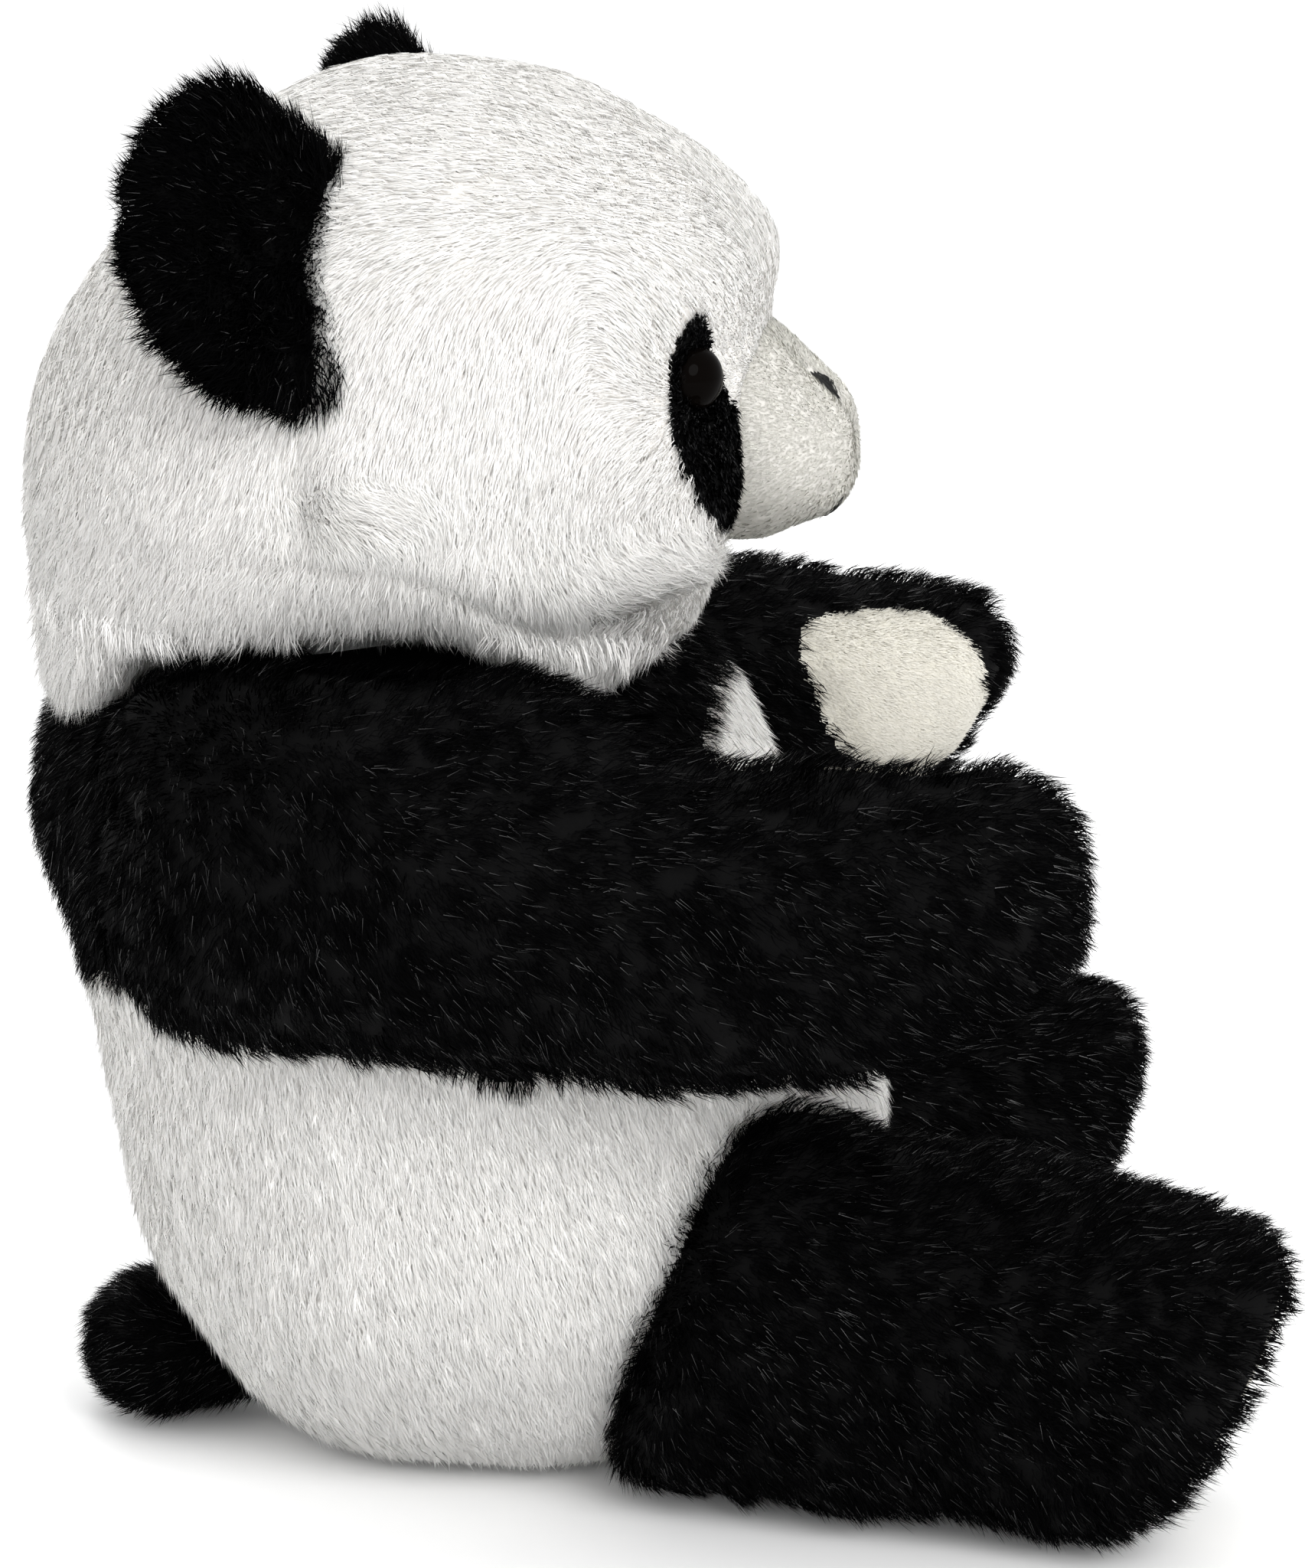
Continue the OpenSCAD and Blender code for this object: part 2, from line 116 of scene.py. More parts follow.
def loft(rows, step=1.8, sides=120, square=2.2, forwards=False):
    """Closed skin through the rows: points in metres and quads."""
    fine = curve(rows, np.linspace(0, 1, 3000))
    d = np.linalg.norm(np.diff(fine[:, [0, 3, 4]], axis=0), axis=1)
    run = np.concatenate([[0], np.cumsum(d)])
    rings = max(12, int(run[-1] / step / 1.3))
    at = np.interp(np.linspace(0, run[-1], rings + 1), run, np.linspace(0, 1, 3000))
    k = curve(rows, at)
    k[:, 3:5] = np.maximum(k[:, 3:5], 0.8)
    ang = np.linspace(0, 2 * np.pi, sides, endpoint=False)
    e = 2 / square
    cx = np.sign(np.cos(ang)) * np.abs(np.cos(ang)) ** e
    sy = np.sign(np.sin(ang)) * np.abs(np.sin(ang)) ** e
    x = k[:, 1:2] + k[:, 3:4] * cx
    off = k[:, 4:5] * sy
    p = np.stack([x, k[:, 2:3] + off, k[:, 0:1] + k[:, 5:6] * off], -1).reshape(-1, 3) * MM
    j, i = np.meshgrid(np.arange(rings), np.arange(sides), indexing="ij")
    n = (i + 1) % sides
    q = np.stack([j * sides + i, j * sides + n, (j + 1) * sides + n, (j + 1) * sides + i], -1)
    # both ends closed by strips across the last ring
    c = np.arange(sides // 2 - 1)
    cap = np.stack([c, c + 1, sides - 2 - c, sides - 1 - c], -1)
    q = np.concatenate([q.reshape(-1, 4), cap[:, ::-1], cap + rings * sides])
    if forwards:
        p = np.stack([p[:, 0], -p[:, 2], p[:, 1]], -1)
    return p, q


def normals(p, q):
    """Vertex normals of quads."""
    f = np.cross(p[q[:, 2]] - p[q[:, 0]], p[q[:, 3]] - p[q[:, 1]])
    out = np.zeros_like(p)
    for k in range(4):
        np.add.at(out, q[:, k], f)
    return out / (np.linalg.norm(out, axis=1, keepdims=True) + 1e-12)


def outward(p, q):
    """Quads turned so that their normals leave the middle."""
    n = normals(p, q)
    if np.sum(n * (p - p.mean(0))) < 0:
        q = q[:, ::-1]
    return q


def ripple(p, size, seed, waves=7):
    """Smooth noise about -1 to 1 with features of that size in metres."""
    r = np.random.default_rng(seed)
    out = np.zeros(len(p))
    for _ in range(waves):
        k = r.normal(size=3)
        k *= 2 * np.pi / size * r.uniform(0.6, 1.4) / np.linalg.norm(k)
        out += np.sin(p @ k + r.uniform(0, 2 * np.pi))
    return out / math.sqrt(waves)


def smooth(a, b, x):
    t = np.clip((x - a) / (b - a), 0, 1)
    return t * t * (3 - 2 * t)


def bump(d, width):
    return np.exp(-(d / width) ** 2)


def lump(p, q, size, amount, seed):
    return p + normals(p, q) * (ripple(p, size, seed) * amount)[:, None]


# ------------------------------------------------------------- transforms
def turn(axis, deg):
    x, y, z = np.asarray(axis, float) / np.linalg.norm(axis)
    c, s = math.cos(math.radians(deg)), math.sin(math.radians(deg))
    m = np.eye(4)
    m[:3, :3] = np.array([
        [c + x * x * (1 - c), x * y * (1 - c) - z * s, x * z * (1 - c) + y * s],
        [y * x * (1 - c) + z * s, c + y * y * (1 - c), y * z * (1 - c) - x * s],
        [z * x * (1 - c) - y * s, z * y * (1 - c) + x * s, c + z * z * (1 - c)]])
    return m


def move(v):
    m = np.eye(4)
    m[:3, 3] = v
    return m


def about(point, m):
    return move(point) @ m @ move(-np.asarray(point))


def apply(m, p):
    return p @ m[:3, :3].T + m[:3, 3]


def mirror(p):
    return p * np.array([-1.0, 1, 1])


JOINT = {j["name"]: j for j in frame["record"]["behaviour"]["joints"]}
NECK_AXIS = np.array(JOINT["neck_turn"]["axis"])
NECK_POINT = np.array(JOINT["neck_turn"]["pos_m"])
HEAD_TURN = -8
LEG_SPLAY = 7
POSE_HEAD = about(NECK_POINT, turn(NECK_AXIS, HEAD_TURN))
POSE_LEG = about(np.array(JOINT["leg_left_raise"]["pos_m"]), turn([0, 0, 1], LEG_SPLAY))
FORWARD = turn([1, 0, 0], 90)
EAR_PLACE = move(np.array([63, 64, 281]) * MM) @ turn([0, 1, 0], -20) @ turn([0, 0, 1], 138)
TAIL_PLACE = move(np.array(JOINT["tail_flex"]["pos_m"])) @ turn([1, 0, 0], -90)


# --------------------------------------------------------------- materials
SCATTER_DEPTH = 0.004


def shader(name, colour, rough=0.6, spec=0.5, scatter=0.0):
    m = bpy.data.materials.new(name)
    m.use_nodes = True
    b = m.node_tree.nodes["Principled BSDF"]
    b.inputs["Base Color"].default_value = (*colour, 1)
    b.inputs["Roughness"].default_value = rough
    b.inputs["Specular IOR Level"].default_value = spec
    if scatter:
        # light spreads from hair to hair, which is what makes white plush look soft
        b.subsurface_method = "BURLEY"
        b.inputs["Subsurface Weight"].default_value = scatter
        b.inputs["Subsurface Radius"].default_value = (1, 1, 1)
        b.inputs["Subsurface Scale"].default_value = SCATTER_DEPTH
    return m


def cloth(name, dark, light, grain, rough=0.85, depth=0.4):
    """Backing cloth or short pile: mottled colour, fine grain and bump."""
    m = shader(name, light, rough, 0.1)
    t = m.node_tree
    b = t.nodes["Principled BSDF"]
    co = t.nodes.new("ShaderNodeTexCoord")
    big = t.nodes.new("ShaderNodeTexNoise")
    big.inputs["Scale"].default_value = grain / 9
    big.inputs["Detail"].default_value = 4
    fine = t.nodes.new("ShaderNodeTexNoise")
    fine.inputs["Scale"].default_value = grain
    fine.inputs["Detail"].default_value = 6
    fine.inputs["Roughness"].default_value = 0.7
    for n in (big, fine):
        t.links.new(co.outputs["Object"], n.inputs["Vector"])
    add = t.nodes.new("ShaderNodeMath")
    add.operation = "ADD"
    t.links.new(big.outputs["Fac"], add.inputs[0])
    t.links.new(fine.outputs["Fac"], add.inputs[1])
    ramp = t.nodes.new("ShaderNodeValToRGB")
    ramp.color_ramp.elements[0].position = 0.75
    ramp.color_ramp.elements[0].color = (*dark, 1)
    ramp.color_ramp.elements[1].position = 1.0
    ramp.color_ramp.elements[1].color = (*light, 1)
    t.links.new(add.outputs[0], ramp.inputs["Fac"])
    t.links.new(ramp.outputs["Color"], b.inputs["Base Color"])
    bm = t.nodes.new("ShaderNodeBump")
    bm.inputs["Strength"].default_value = depth
    bm.inputs["Distance"].default_value = 0.0006
    t.links.new(fine.outputs["Fac"], bm.inputs["Height"])
    t.links.new(bm.outputs["Normal"], b.inputs["Normal"])
    return m


WHITE_SKIN = cloth("white_backing", (0.91, 0.885, 0.845), (0.95, 0.93, 0.90), 900)
BLACK_SKIN = cloth("black_backing", (0.0005, 0.0005, 0.0006), (0.001, 0.001, 0.0011), 900)
MUZZLE_SKIN = cloth("muzzle_short_pile", (0.56, 0.545, 0.505), (0.60, 0.585, 0.55), 1400, depth=0.3)
CREAM_SKIN = cloth("cream_short_pile", (0.62, 0.595, 0.52), (0.68, 0.66, 0.58), 1400, depth=0.3)
PATCH_SKIN = cloth("black_short_pile", (0.0008, 0.0008, 0.0008), (0.0018, 0.0018, 0.0018), 1400)

STUFFING = cloth("loose_fibre", (0.80, 0.80, 0.79), (0.95, 0.95, 0.94), 500)
NYLON = cloth("washer_nylon", (0.78, 0.78, 0.75), (0.86, 0.86, 0.84), 3000, rough=0.4, depth=0.1)
BAG = cloth("pellet_bag_cloth", (0.66, 0.62, 0.55), (0.80, 0.77, 0.72), 1800)

WHITE_TIPS = [shader("white_tip_a", (0.955, 0.947, 0.928), 0.6, 0.1, 0.5),
              shader("white_tip_b", (0.95, 0.936, 0.91), 0.6, 0.1, 0.5),
              shader("white_tip_c", (0.965, 0.96, 0.947), 0.55, 0.12, 0.5)]
WHITE_ROOTS = [shader("white_root_a", (0.95, 0.934, 0.905), 0.8, 0.1, 0.5),
               shader("white_root_b", (0.945, 0.924, 0.89), 0.8, 0.1, 0.5)]
# The third black tip colour is a lighter grey: painted glints on the black pile, together with a real
# shinier finish.
BLACK_TIPS = [shader("black_tip_a", (0.0007, 0.0007, 0.0008), 0.6, 0.01),
              shader("black_tip_b", (0.0009, 0.0009, 0.0010), 0.6, 0.02),
              shader("black_painted_glint_tip", (0.016, 0.0155, 0.0165), 0.36, 0.6)]
BLACK_ROOTS = [shader("black_root_a", (0.0008, 0.0008, 0.001), 0.7, 0.02),
               shader("black_root_b", (0.0014, 0.0014, 0.0016), 0.7, 0.02)]
MUZZLE_TIPS = [shader("muzzle_tip_a", (0.54, 0.533, 0.495), 0.7, 0.1, 0.8),
               shader("muzzle_tip_b", (0.53, 0.52, 0.475), 0.7, 0.1, 0.8)]
MUZZLE_ROOTS = [shader("muzzle_root", (0.55, 0.538, 0.495), 0.8, 0.1, 0.8)]
FRINGE_TIPS = [shader("fringe_tip_a", (0.94, 0.93, 0.915), 0.55, 0.3),
               shader("fringe_tip_b", (0.87, 0.855, 0.835), 0.6, 0.2)]
CREAM_TIPS = [shader("cream_tip_a", (0.72, 0.70, 0.635), 0.7, 0.1),
              shader("cream_tip_b", (0.69, 0.665, 0.595), 0.7, 0.1)]
CREAM_ROOTS = [shader("cream_root", (0.66, 0.635, 0.56), 0.8, 0.1)]
PATCH_TIPS = [shader("patch_tip_a", (0.0010, 0.0010, 0.0012), 0.6, 0.03),
              shader("patch_tip_b", (0.006, 0.006, 0.0065), 0.5, 0.2)]
PATCH_ROOTS = [shader("patch_root", (0.0010, 0.0010, 0.0012), 0.7, 0.03)]


# settings that the pieces of one plush share
# The black pile's third tip share, 9 %, is the lighter grey painted-glint strands.
BLACK_PILE = dict(soft=0.6, width=0.28, lean=50, clump=0.4, mix_tips=(0.58, 0.33, 0.09))
PAD_PILE = dict(group=4, spread=1.6, width=0.26, lean=55, soft=0.96, loose=0.6, clump=0.05,
                mix_tips=(0.6, 0.4))


# ------------------------------------------------------------------ pieces
def build(name, p, faces, mats, index=None, shade=None):
    """Mesh object from points and a list of face arrays, each (n, sides)."""
    me = bpy.data.meshes.new(name)
    me.vertices.add(len(p))
    me.vertices.foreach_set("co", np.asarray(p, np.float32).ravel())
    loops = np.concatenate([f.ravel() for f in faces]).astype(np.int32)
    sizes = np.concatenate([np.full(len(f), f.shape[1]) for f in faces])
    starts = np.concatenate([[0], np.cumsum(sizes)[:-1]]).astype(np.int32)
    me.loops.add(len(loops))
    me.loops.foreach_set("vertex_index", loops)
    me.polygons.add(len(sizes))
    me.polygons.foreach_set("loop_start", starts)
    me.polygons.foreach_set("use_smooth", np.ones(len(sizes), bool))
    for m in mats:
        me.materials.append(m)
    if index is not None:
        me.polygons.foreach_set("material_index", np.asarray(index, np.int32))
    me.update(calc_edges=True)
    if shade is not None:
        a = me.attributes.new("custom_normal", "FLOAT_VECTOR", "POINT")
        a.data.foreach_set("vector", np.asarray(shade, np.float32).ravel())
        me.update()
    o = bpy.data.objects.new(name, me)
    bpy.context.scene.collection.objects.link(o)
    return o


def skin(name, p, q, keep, mat, m=None):
    """The kept faces of a skin as their own object."""
    q = q[keep]
    used, back = np.unique(q, return_inverse=True)
    pts = p[used] if m is None else apply(m, p[used])
    f = back.reshape(-1, 4)
    return build(name, pts, [f], [mat])


def tangent(v, n):
    v = v - n * np.sum(v * n, 1, keepdims=True)
    return v / (np.linalg.norm(v, axis=1, keepdims=True) + 1e-9)


def grow(name, p, q, keep, count, flow, length, tips, roots, m=None, group=10, spread=2.4,
         width=0.26, lean=60, clump=0.18, soft=0.95, loose=1.0, mix_tips=(0.5, 0.3, 0.2), seed=1,
         wild=14):
    """Pile on the kept faces: tapered, bent blades in small tufts. count is tufts."""
    r = np.random.default_rng(seed)
    qq = q[keep]
    a, b, c, d = (p[qq[:, k]] for k in range(4))
    area = 0.5 * (np.linalg.norm(np.cross(b - a, c - a), axis=1)
                  + np.linalg.norm(np.cross(c - a, d - a), axis=1))
    vn = normals(p, q)
    f = r.choice(len(qq), size=count, p=area / area.sum())
    u, v = r.random((2, count, 1))
    w4 = [(1 - u) * (1 - v), u * (1 - v), u * v, (1 - u) * v]
    pos = sum(w * x[f] for w, x in zip(w4, (a, b, c, d)))
    nor = sum(w * vn[qq[f, k]] for k, w in enumerate(w4))
    nor /= np.linalg.norm(nor, axis=1, keepdims=True)
    L = length(pos, nor) * MM * r.uniform(0.82, 1.15, count)
    fl = tangent(flow(pos, nor), nor)
    side = np.cross(nor, fl)
    calm = loose(pos) if callable(loose) else np.full(count, loose)
    lean = lean(pos) if callable(lean) else lean
    swing = np.radians(wild * calm * (0.8 * ripple(pos, 0.022, seed + 5) + 0.7 * r.normal(size=count)))
    fl = fl * np.cos(swing)[:, None] + side * np.sin(swing)[:, None]
    side = np.cross(nor, fl)
    tilt = np.radians(lean + calm * (7 * ripple(pos, 0.016, seed + 9) + 5 * r.normal(size=count)))
    tuft_tip = pos + L[:, None] * (nor * np.cos(tilt)[:, None] + fl * np.sin(tilt)[:, None])

    g = group
    rep = lambda x: np.repeat(x, g, axis=0)
    n = count * g
    rad = spread * MM * np.sqrt(r.random(n))
    th = r.uniform(0, 2 * np.pi, n)
    P, N, F, S = rep(pos), rep(nor), rep(fl), rep(side)
    root = P + F * (rad * np.cos(th))[:, None] + S * (rad * np.sin(th))[:, None] - N * 0.0006
    Ln = rep(L) * r.uniform(0.75, 1.08, n)
    tl = rep(tilt) + np.radians(9) * rep(calm) * r.normal(size=n)
    sw = np.radians(16) * rep(calm) * r.normal(size=n)
    D = F * np.cos(sw)[:, None] + S * np.sin(sw)[:, None]
    own = root + Ln[:, None] * (N * np.cos(tl)[:, None] + D * np.sin(tl)[:, None])
    tip = own * (1 - clump) + (rep(tuft_tip) + r.normal(size=(n, 3)) * 0.0003) * clump
    tm = tl * 0.62
    mid = root + 0.5 * Ln[:, None] * (N * np.cos(tm)[:, None] + D * np.sin(tm)[:, None])
    ax = tip - root
    ax /= np.linalg.norm(ax, axis=1, keepdims=True) + 1e-9
    wv = np.cross(ax, N)
    wv /= np.linalg.norm(wv, axis=1, keepdims=True) + 1e-9
    tw = np.radians(34) * r.normal(size=n)
    wv = wv * np.cos(tw)[:, None] + np.cross(ax, wv) * np.sin(tw)[:, None]
    pick_tip = r.choice(len(tips), size=n, p=np.array(mix_tips[:len(tips)]) / sum(mix_tips[:len(tips)]))
    pick_root = r.integers(0, len(roots), n)
    # Strands of the third tip material are half as wide; on black pile these are the painted-glint
    # strands.
    W = width * MM * r.uniform(0.7, 1.3, n) * np.where(pick_tip == 2, 0.5, 1)
    W = W[:, None]
    pts = np.stack([root - wv * W * 0.5, root + wv * W * 0.5,
                    mid - wv * W * 0.42, mid + wv * W * 0.42, tip], 1).reshape(-1, 3)
    bn = np.cross(wv, ax)
    bn *= np.sign(np.sum(bn * N, 1, keepdims=True) + 1e-9)
    sn = soft * N + (1 - soft) * bn + 0.06 * r.normal(size=(n, 3))
    sn /= np.linalg.norm(sn, axis=1, keepdims=True)
    shade = np.repeat(sn[:, None, :], 5, axis=1).reshape(-1, 3)
    flip = np.sum(np.cross(wv, ax) * N, 1) < 0
    k = np.arange(n) * 5
    quad = np.where(flip[:, None], np.stack([k + 1, k, k + 2, k + 3], 1),
                    np.stack([k, k + 1, k + 3, k + 2], 1))
    tri = np.where(flip[:, None], np.stack([k + 3, k + 2, k + 4], 1),
                   np.stack([k + 2, k + 3, k + 4], 1))
    if m is not None:
        pts = apply(m, pts)
        shade = shade @ m[:3, :3].T
    index = np.concatenate([len(tips) + pick_root, pick_tip])
    return build(name, pts, [quad, tri], list(tips) + list(roots), index, shade)


def ride(o, body, nodes=()):
    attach(o, body)
    if nodes:
        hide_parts(*nodes)
    return o


# -------------------------------------------------------------------- head
def vec(*v):
    return np.array(v, float)


hp, hq = loft(HEAD, step=1.4, square=2.3, sides=260)
hq = outward(hp, hq)
x, y, z = hp.T / MM
# brow over the eyes, cheeks out at the front, and a fold under each cheek
hn = normals(hp, hq)
front = smooth(20, -10, y)
ax = np.abs(x)
push = 2.5 * front * bump(z - 273, 10) * smooth(60, 20, ax)
push -= 3.0 * front * bump(z - 256, 10) * bump(ax - 42, 15)
push += 4.5 * front * bump(z - 231, 12) * bump(ax - 44, 13)
push += 5.0 * bump(y - 8, 30) * bump(z - 215, 10) * smooth(35, 60, ax)
push += 6.5 * bump(y + 9, 13) * bump(z - 219, 11) * bump(ax - 47, 17)
push -= 2.6 * bump(z - 204 - 0.05 * (y - 60), 3.0) * smooth(40, 60, ax) * smooth(95, 40, y) \
    * smooth(-22, 4, y)
push += 2.0 * bump(y - 50, 16) * bump(z - 229, 9) * smooth(40, 60, ax)
push -= 3.5 * bump(y - 64, 6) * bump(z - 234, 7) * smooth(40, 60, ax)
push -= 2.0 * bump(y - 63, 2.8) * smooth(205, 212, z) * smooth(262, 252, z) * smooth(40, 60, ax)
hp = hp + hn * (push * MM)[:, None]
# the shoulders push the seam line up at both sides
lift = 19 * smooth(10, 42, y) * smooth(132, 100, y) * smooth(36, 64, ax) * smooth(230, 196, z)
hp[:, 2] += lift * MM
hp = lump(hp, hq, 0.05, 0.0009, 11)
hn = normals(hp, hq)
hc = hp[hq].mean(1) / MM


def head_flow(p, n):
    x, y, z = p.T / MM
    top = smooth(262, 300, z)
    low = smooth(235, 205, z)
    face = smooth(14, -8, y)
    v = vec(0, 0.30, -1)[None] * (1 - top)[:, None] + vec(0, 1, -0.15)[None] * top[:, None]
    v = v * (1 - 0.8 * low * smooth(60, 20, y))[:, None] \
        + vec(0, -0.35, -1)[None] * (0.8 * low * smooth(60, 20, y))[:, None]
    out = np.stack([np.sign(x) * 0.9 * smooth(0, 25, np.abs(x)), np.full_like(x, 0.2),
                    np.where(z > 244, 1.0, -0.5)], 1)
    up = smooth(238, 262, z)
    out[:, 2] = -0.6 * (1 - up) + 1.0 * up
    v = v * (1 - face)[:, None] + out * face[:, None]
    tuft = bump(y - 50, 13) * bump(z - 232, 6)
    cheek = bump(y + 9, 15) * bump(z - 216, 9) * smooth(30, 44, np.abs(x))
    return v + vec(0, -2.4, 0.3)[None] * tuft[:, None] + vec(0, -3.2, -0.4)[None] * cheek[:, None]


def head_length(p, n):
    x, y, z = p.T / MM
    L = 6.6 - 1.6 * smooth(262, 296, z)
    L += 2.5 * bump(y - 50, 12) * bump(z - 232, 6)
    L += 7.0 * bump(y + 9, 13) * bump(z - 216, 8) * bump(np.abs(x) - 48, 16)
    L += 3.5 * smooth(203, 191, z)
    face = smooth(8, -8, y)
    inner = smooth(52, 34, np.abs(x)) * smooth(274, 262, z) * smooth(-2, -8, y)
    L = L * (1 - 0.15 * face)
    return L * (1 - inner) + 3.2 * inner


# eye patches: tilted ovals on the face
def patch_mask(c):
    tilt = math.radians(-5)
    u, w = np.abs(c[:, 0]) - 43.5, c[:, 2] - 243.5
    a = u * math.cos(tilt) + w * math.sin(tilt)
    b = -u * math.sin(tilt) + w * math.cos(tilt)
    wide = 11.8 - 3.6 * smooth(-6, 18, b)
    return ((a / wide) ** 2 + (b / 22.5) ** 2 < 1) & (c[:, 1] < 20)


patch = patch_mask(hc)
face = (hc[:, 1] < -5) & ~patch
cover = hc[:, 1] >= -5
ride(skin("head_plush_backing", hp, hq, cover, WHITE_SKIN, POSE_HEAD), "head",
     ("head_cover", "head_fill"))
ride(skin("face_plush_backing", hp, hq, face, WHITE_SKIN, POSE_HEAD), "head",
     ("face_panel",))
for s, name in ((-1, "right"), (1, "left")):
    k = patch & (hc[:, 0] * s > 0)
    pp = hp + hn * 0.0008
    ride(skin(f"eye_patch_{name}_backing", pp, hq, k, PATCH_SKIN, POSE_HEAD), "head",
         (f"eye_patch_{name}",))
    ride(grow(f"eye_patch_{name}_pile", pp, hq, k, 900, head_flow, lambda p, n: np.full(len(p), 3.4),
              PATCH_TIPS, PATCH_ROOTS, POSE_HEAD, group=8, spread=1.0, width=0.4, lean=48,
              soft=0.6, mix_tips=(0.7, 0.3), seed=40 + s), "head")

HEAD_LAYERS, BODY_LAYERS = 8, 6


def fringe_flow(p, n):
    return head_flow(p, n) + vec(0, 0, -1.2)[None]


def fringe_length(p, n):
    return 8.8 + 1.5 * ripple(p, 0.008, 77)


# the head's pile leaves out the patch of cloth that the muzzle covers
under = (np.abs(hc[:, 0]) < 20) & (hc[:, 2] > 218) & (hc[:, 2] < 250) & (hc[:, 1] < -5)


def head_lean(p):
    return 57 + 17 * smooth(212, 250, p[:, 2] / MM)


def head_loose(p):
    return 1 - 0.7 * smooth(212, 250, p[:, 2] / MM)


# thin layers that each cover the whole head, so that no edge of a layer shows
open_face = (cover | face) & ~under
for i in range(HEAD_LAYERS):
    ride(grow(f"head_pile_{i + 1}", hp, hq, open_face, 13000, head_flow, head_length, WHITE_TIPS,
              WHITE_ROOTS, POSE_HEAD, lean=head_lean, loose=head_loose, width=0.28, group=5,
              clump=0.1, spread=2.2, seed=31 + i), "head")
for s, side in ((-1, "right"), (1, "left")):
    rim = cover & (hc[:, 0] * s > 0) & (hc[:, 2] < 206)
    ride(grow(f"head_fringe_{side}", hp, hq, rim, 2400, fringe_flow, fringe_length, FRINGE_TIPS,
              FRINGE_TIPS, POSE_HEAD, lean=62, clump=0.35, width=0.28, spread=1.6,
              mix_tips=(0.5, 0.5), seed=47 + s),
         "head")

# ------------------------------------------------------------------ muzzle
mp, mq = loft(MUZZLE, step=0.9, sides=110, square=2.15, forwards=True)
mq = outward(mp, mq)
x, y, z = mp.T / MM
mn = normals(mp, mq)
push = -2.2 * bump(x, 2.2) * smooth(-26, -38, y) * smooth(236, 230, z)
push += 1.0 * bump(np.abs(x) - 12, 8) * bump(z - 224, 8) * smooth(-20, -34, y)
push -= 2.2 * bump(x, 7.0) * bump(z - 244.5, 6.5) * smooth(-22, -28, y)
push += 1.4 * bump(np.abs(x) - 9.5, 4.5) * bump(z - 245, 9) * smooth(-18, -28, y)
mp = mp + mn * (push * MM)[:, None]
mp = lump(mp, mq, 0.02, 0.0003, 5)
mn = normals(mp, mq)
mc = mp[mq].mean(1) / MM
all_m = np.ones(len(mq), bool)


def muzzle_flow(p, n):
    x, y, z = p.T / MM
    return np.stack([x * 0.03, np.full_like(x, 1.0), (z - 236) * 0.03 - 0.2], 1)


ride(skin("muzzle_cover_skin", mp, mq, all_m, MUZZLE_SKIN, POSE_HEAD), "head",
     ("muzzle_cover", "muzzle_fill"))
nose_free = ((mc[:, 0] / 5.4) ** 2 + ((mc[:, 2] - 244.5) / 5) ** 2 > 1) | (mc[:, 1] > -25)
ride(grow("muzzle_short_pile", mp, mq, nose_free, 15000, muzzle_flow,
          lambda p, n: np.full(len(p), 2.0), MUZZLE_TIPS, MUZZLE_ROOTS, POSE_HEAD, group=4,
          spread=1.6, width=0.26, lean=60, soft=0.97, loose=0.5, clump=0.05,
          mix_tips=(0.6, 0.4), seed=31), "head")


# ----------------------------------------------------- nose and mouth thread
def on_muzzle(xs, zs):
    """Point and normal of the muzzle's front at x, z in millimetres."""
    out, nn = [], []
    pts = mp / MM
    fwd = pts[:, 1] < -12
    c, nc = pts[fwd], mn[fwd]
    for a, b in zip(xs, zs):
        d = (c[:, 0] - a) ** 2 + (c[:, 2] - b) ** 2
        i = np.argsort(d)[:4]
        w = 1 / (d[i] + 1e-3)
        w /= w.sum()
        out.append((c[i] * w[:, None]).sum(0))
        v = (nc[i] * w[:, None]).sum(0)
        nn.append(v / np.linalg.norm(v))
    out = np.array(out)
    out[:, 0], out[:, 2] = xs, zs
    return out * MM, np.array(nn)


def tube(points, radius, sides=6):
    """Closed round thread along the points, thinner at its ends."""
    p = np.asarray(points)
    t = np.gradient(p, axis=0)
    t /= np.linalg.norm(t, axis=1, keepdims=True) + 1e-12
    ref = np.where(np.abs(t[:, :1]) > 0.8, vec(0, 0, 1)[None], vec(1, 0, 0)[None])
    u = np.cross(t, ref)
    u /= np.linalg.norm(u, axis=1, keepdims=True) + 1e-12
    w = np.cross(t, u)
    a = np.linspace(0, 2 * np.pi, sides, endpoint=False)
    s = np.linspace(0, 1, len(p))
    r = radius * np.minimum(1, 0.25 + 6 * np.minimum(s, 1 - s))
    pts = p[:, None] + r[:, None, None] * (u[:, None] * np.cos(a)[None, :, None]
                                           + w[:, None] * np.sin(a)[None, :, None])
    n = len(p)
    j, i = np.meshgrid(np.arange(n - 1), np.arange(sides), indexing="ij")
    k = (i + 1) % sides
    q = np.stack([j * sides + i, j * sides + k, (j + 1) * sides + k, (j + 1) * sides + i], -1)
    caps = [np.arange(sides)[::-1], (n - 1) * sides + np.arange(sides)]
    return pts.reshape(-1, 3), q.reshape(-1, 4), np.array(caps)


def threads(name, lines, radius, mat, m):
    P, Q, C, at = [], [], [], 0
    for line in lines:
        a, b, c = tube(line, radius)
        P.append(a)
        Q.append(b + at)
        C.append(c + at)
        at += len(a)
    P = apply(m, np.concatenate(P))
    return build(name, P, [np.concatenate(Q), np.concatenate(C)], [mat])


